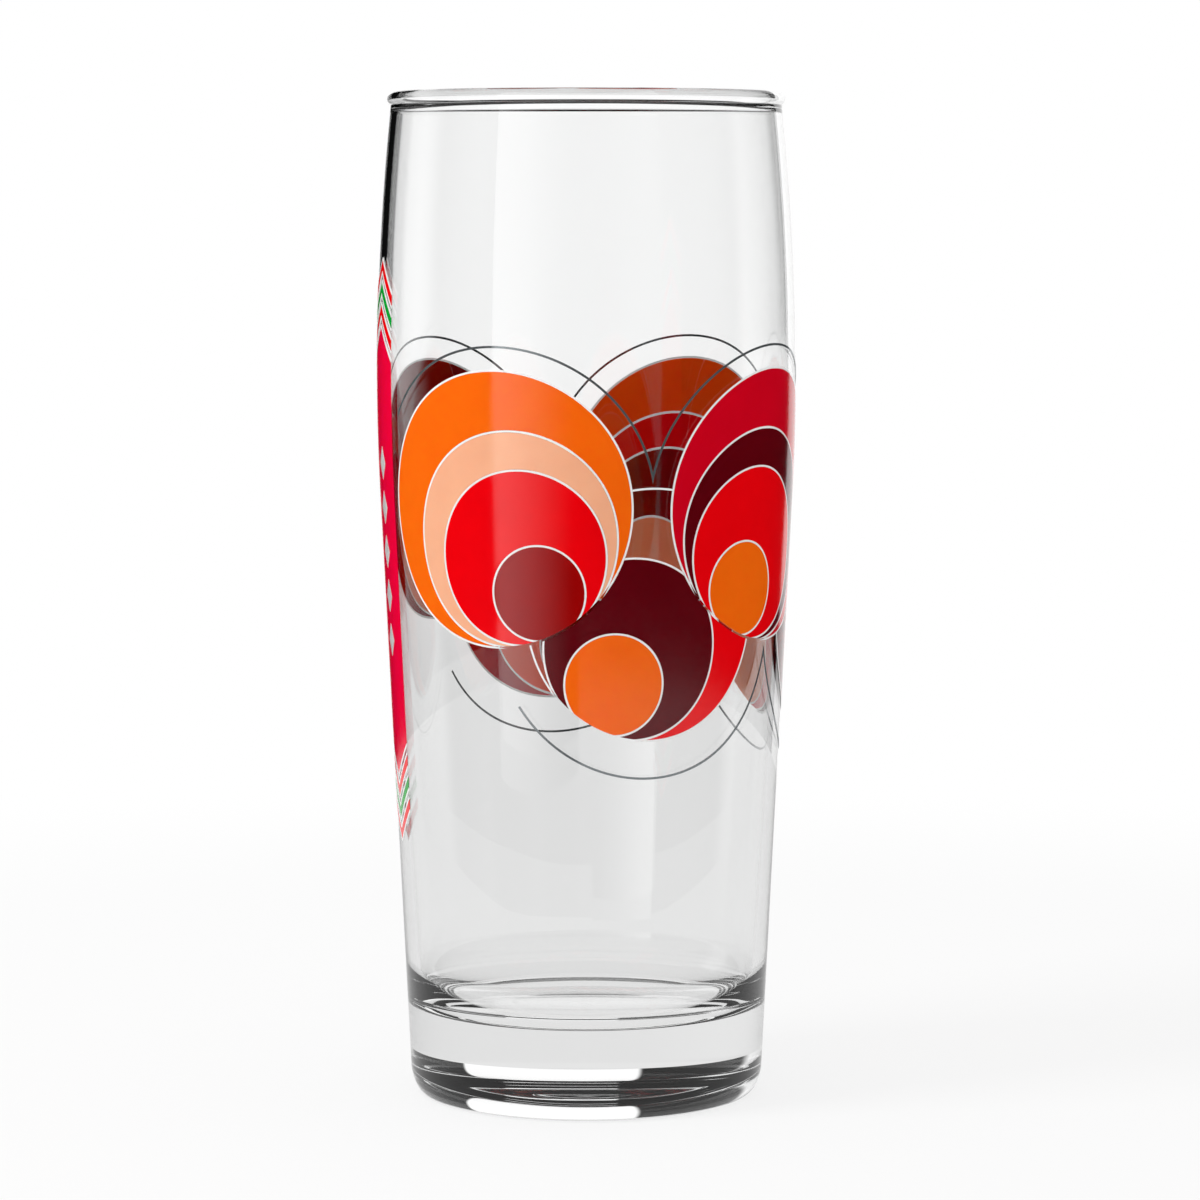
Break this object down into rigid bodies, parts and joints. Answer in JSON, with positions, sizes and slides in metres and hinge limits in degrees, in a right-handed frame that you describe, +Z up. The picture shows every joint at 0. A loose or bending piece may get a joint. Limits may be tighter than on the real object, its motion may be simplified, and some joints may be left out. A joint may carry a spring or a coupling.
{
  "type": "beer glass",
  "caption": "Tall clear beer tumbler with a tapered wall, gentle belly, rounded rim bead and heavy base, printed with a band of coloured discs and an upright chevron stripe.",
  "frame": {"origin": "centre of the standing ring, on the surface that the glass stands on", "axes": "+Z up along the glass's axis, -Y towards the front of the picture, +X to its right"},
  "size_m": [0.0746, 0.0746, 0.178],
  "materials": {
    "clear_glass": "clear, fire-polished",
    "orange_ink": "glossy printed ink film",
    "peach_ink": "glossy printed ink film",
    "red_ink": "glossy printed ink film",
    "crimson_ink": "glossy printed ink film",
    "dark_red_ink": "glossy printed ink film",
    "maroon_ink": "glossy printed ink film",
    "green_ink": "glossy printed ink film",
    "silver_ink": "glossy printed ink film"
  },
  "bodies": {
    "root": {"bottom_chevron_1": "red_ink", "bottom_chevron_2": "green_ink", "bottom_chevron_3": "red_ink", "glass_body": "clear_glass", "lower_disc_1_core": "orange_ink", "lower_disc_1_crescent_1": "red_ink", "lower_disc_1_crescent_2": "maroon_ink", "lower_disc_2_core": "peach_ink", "lower_disc_2_crescent_1": "maroon_ink", "lower_disc_2_crescent_2": "red_ink", "lower_disc_3_core": "dark_red_ink", "lower_disc_3_crescent_1": "crimson_ink", "lower_disc_3_crescent_2": "orange_ink", "lower_silver_line": "silver_ink", "stripe_bar": "red_ink", "top_chevron_1": "red_ink", "top_chevron_2": "green_ink", "top_chevron_3": "red_ink", "upper_disc_1_core": "dark_red_ink", "upper_disc_1_crescent_1": "orange_ink", "upper_disc_1_crescent_2": "peach_ink", "upper_disc_1_crescent_3": "red_ink", "upper_disc_2_core": "orange_ink", "upper_disc_2_crescent_1": "crimson_ink", "upper_disc_2_crescent_2": "maroon_ink", "upper_disc_2_crescent_3": "red_ink", "upper_disc_3_core": "peach_ink", "upper_disc_3_crescent_1": "orange_ink", "upper_disc_3_crescent_2": "red_ink", "upper_disc_3_crescent_3": "dark_red_ink", "upper_disc_4_core": "orange_ink", "upper_disc_4_crescent_1": "dark_red_ink", "upper_disc_4_crescent_2": "peach_ink", "upper_disc_4_crescent_3": "crimson_ink", "upper_silver_line": "silver_ink"}
  },
  "joints": []
}
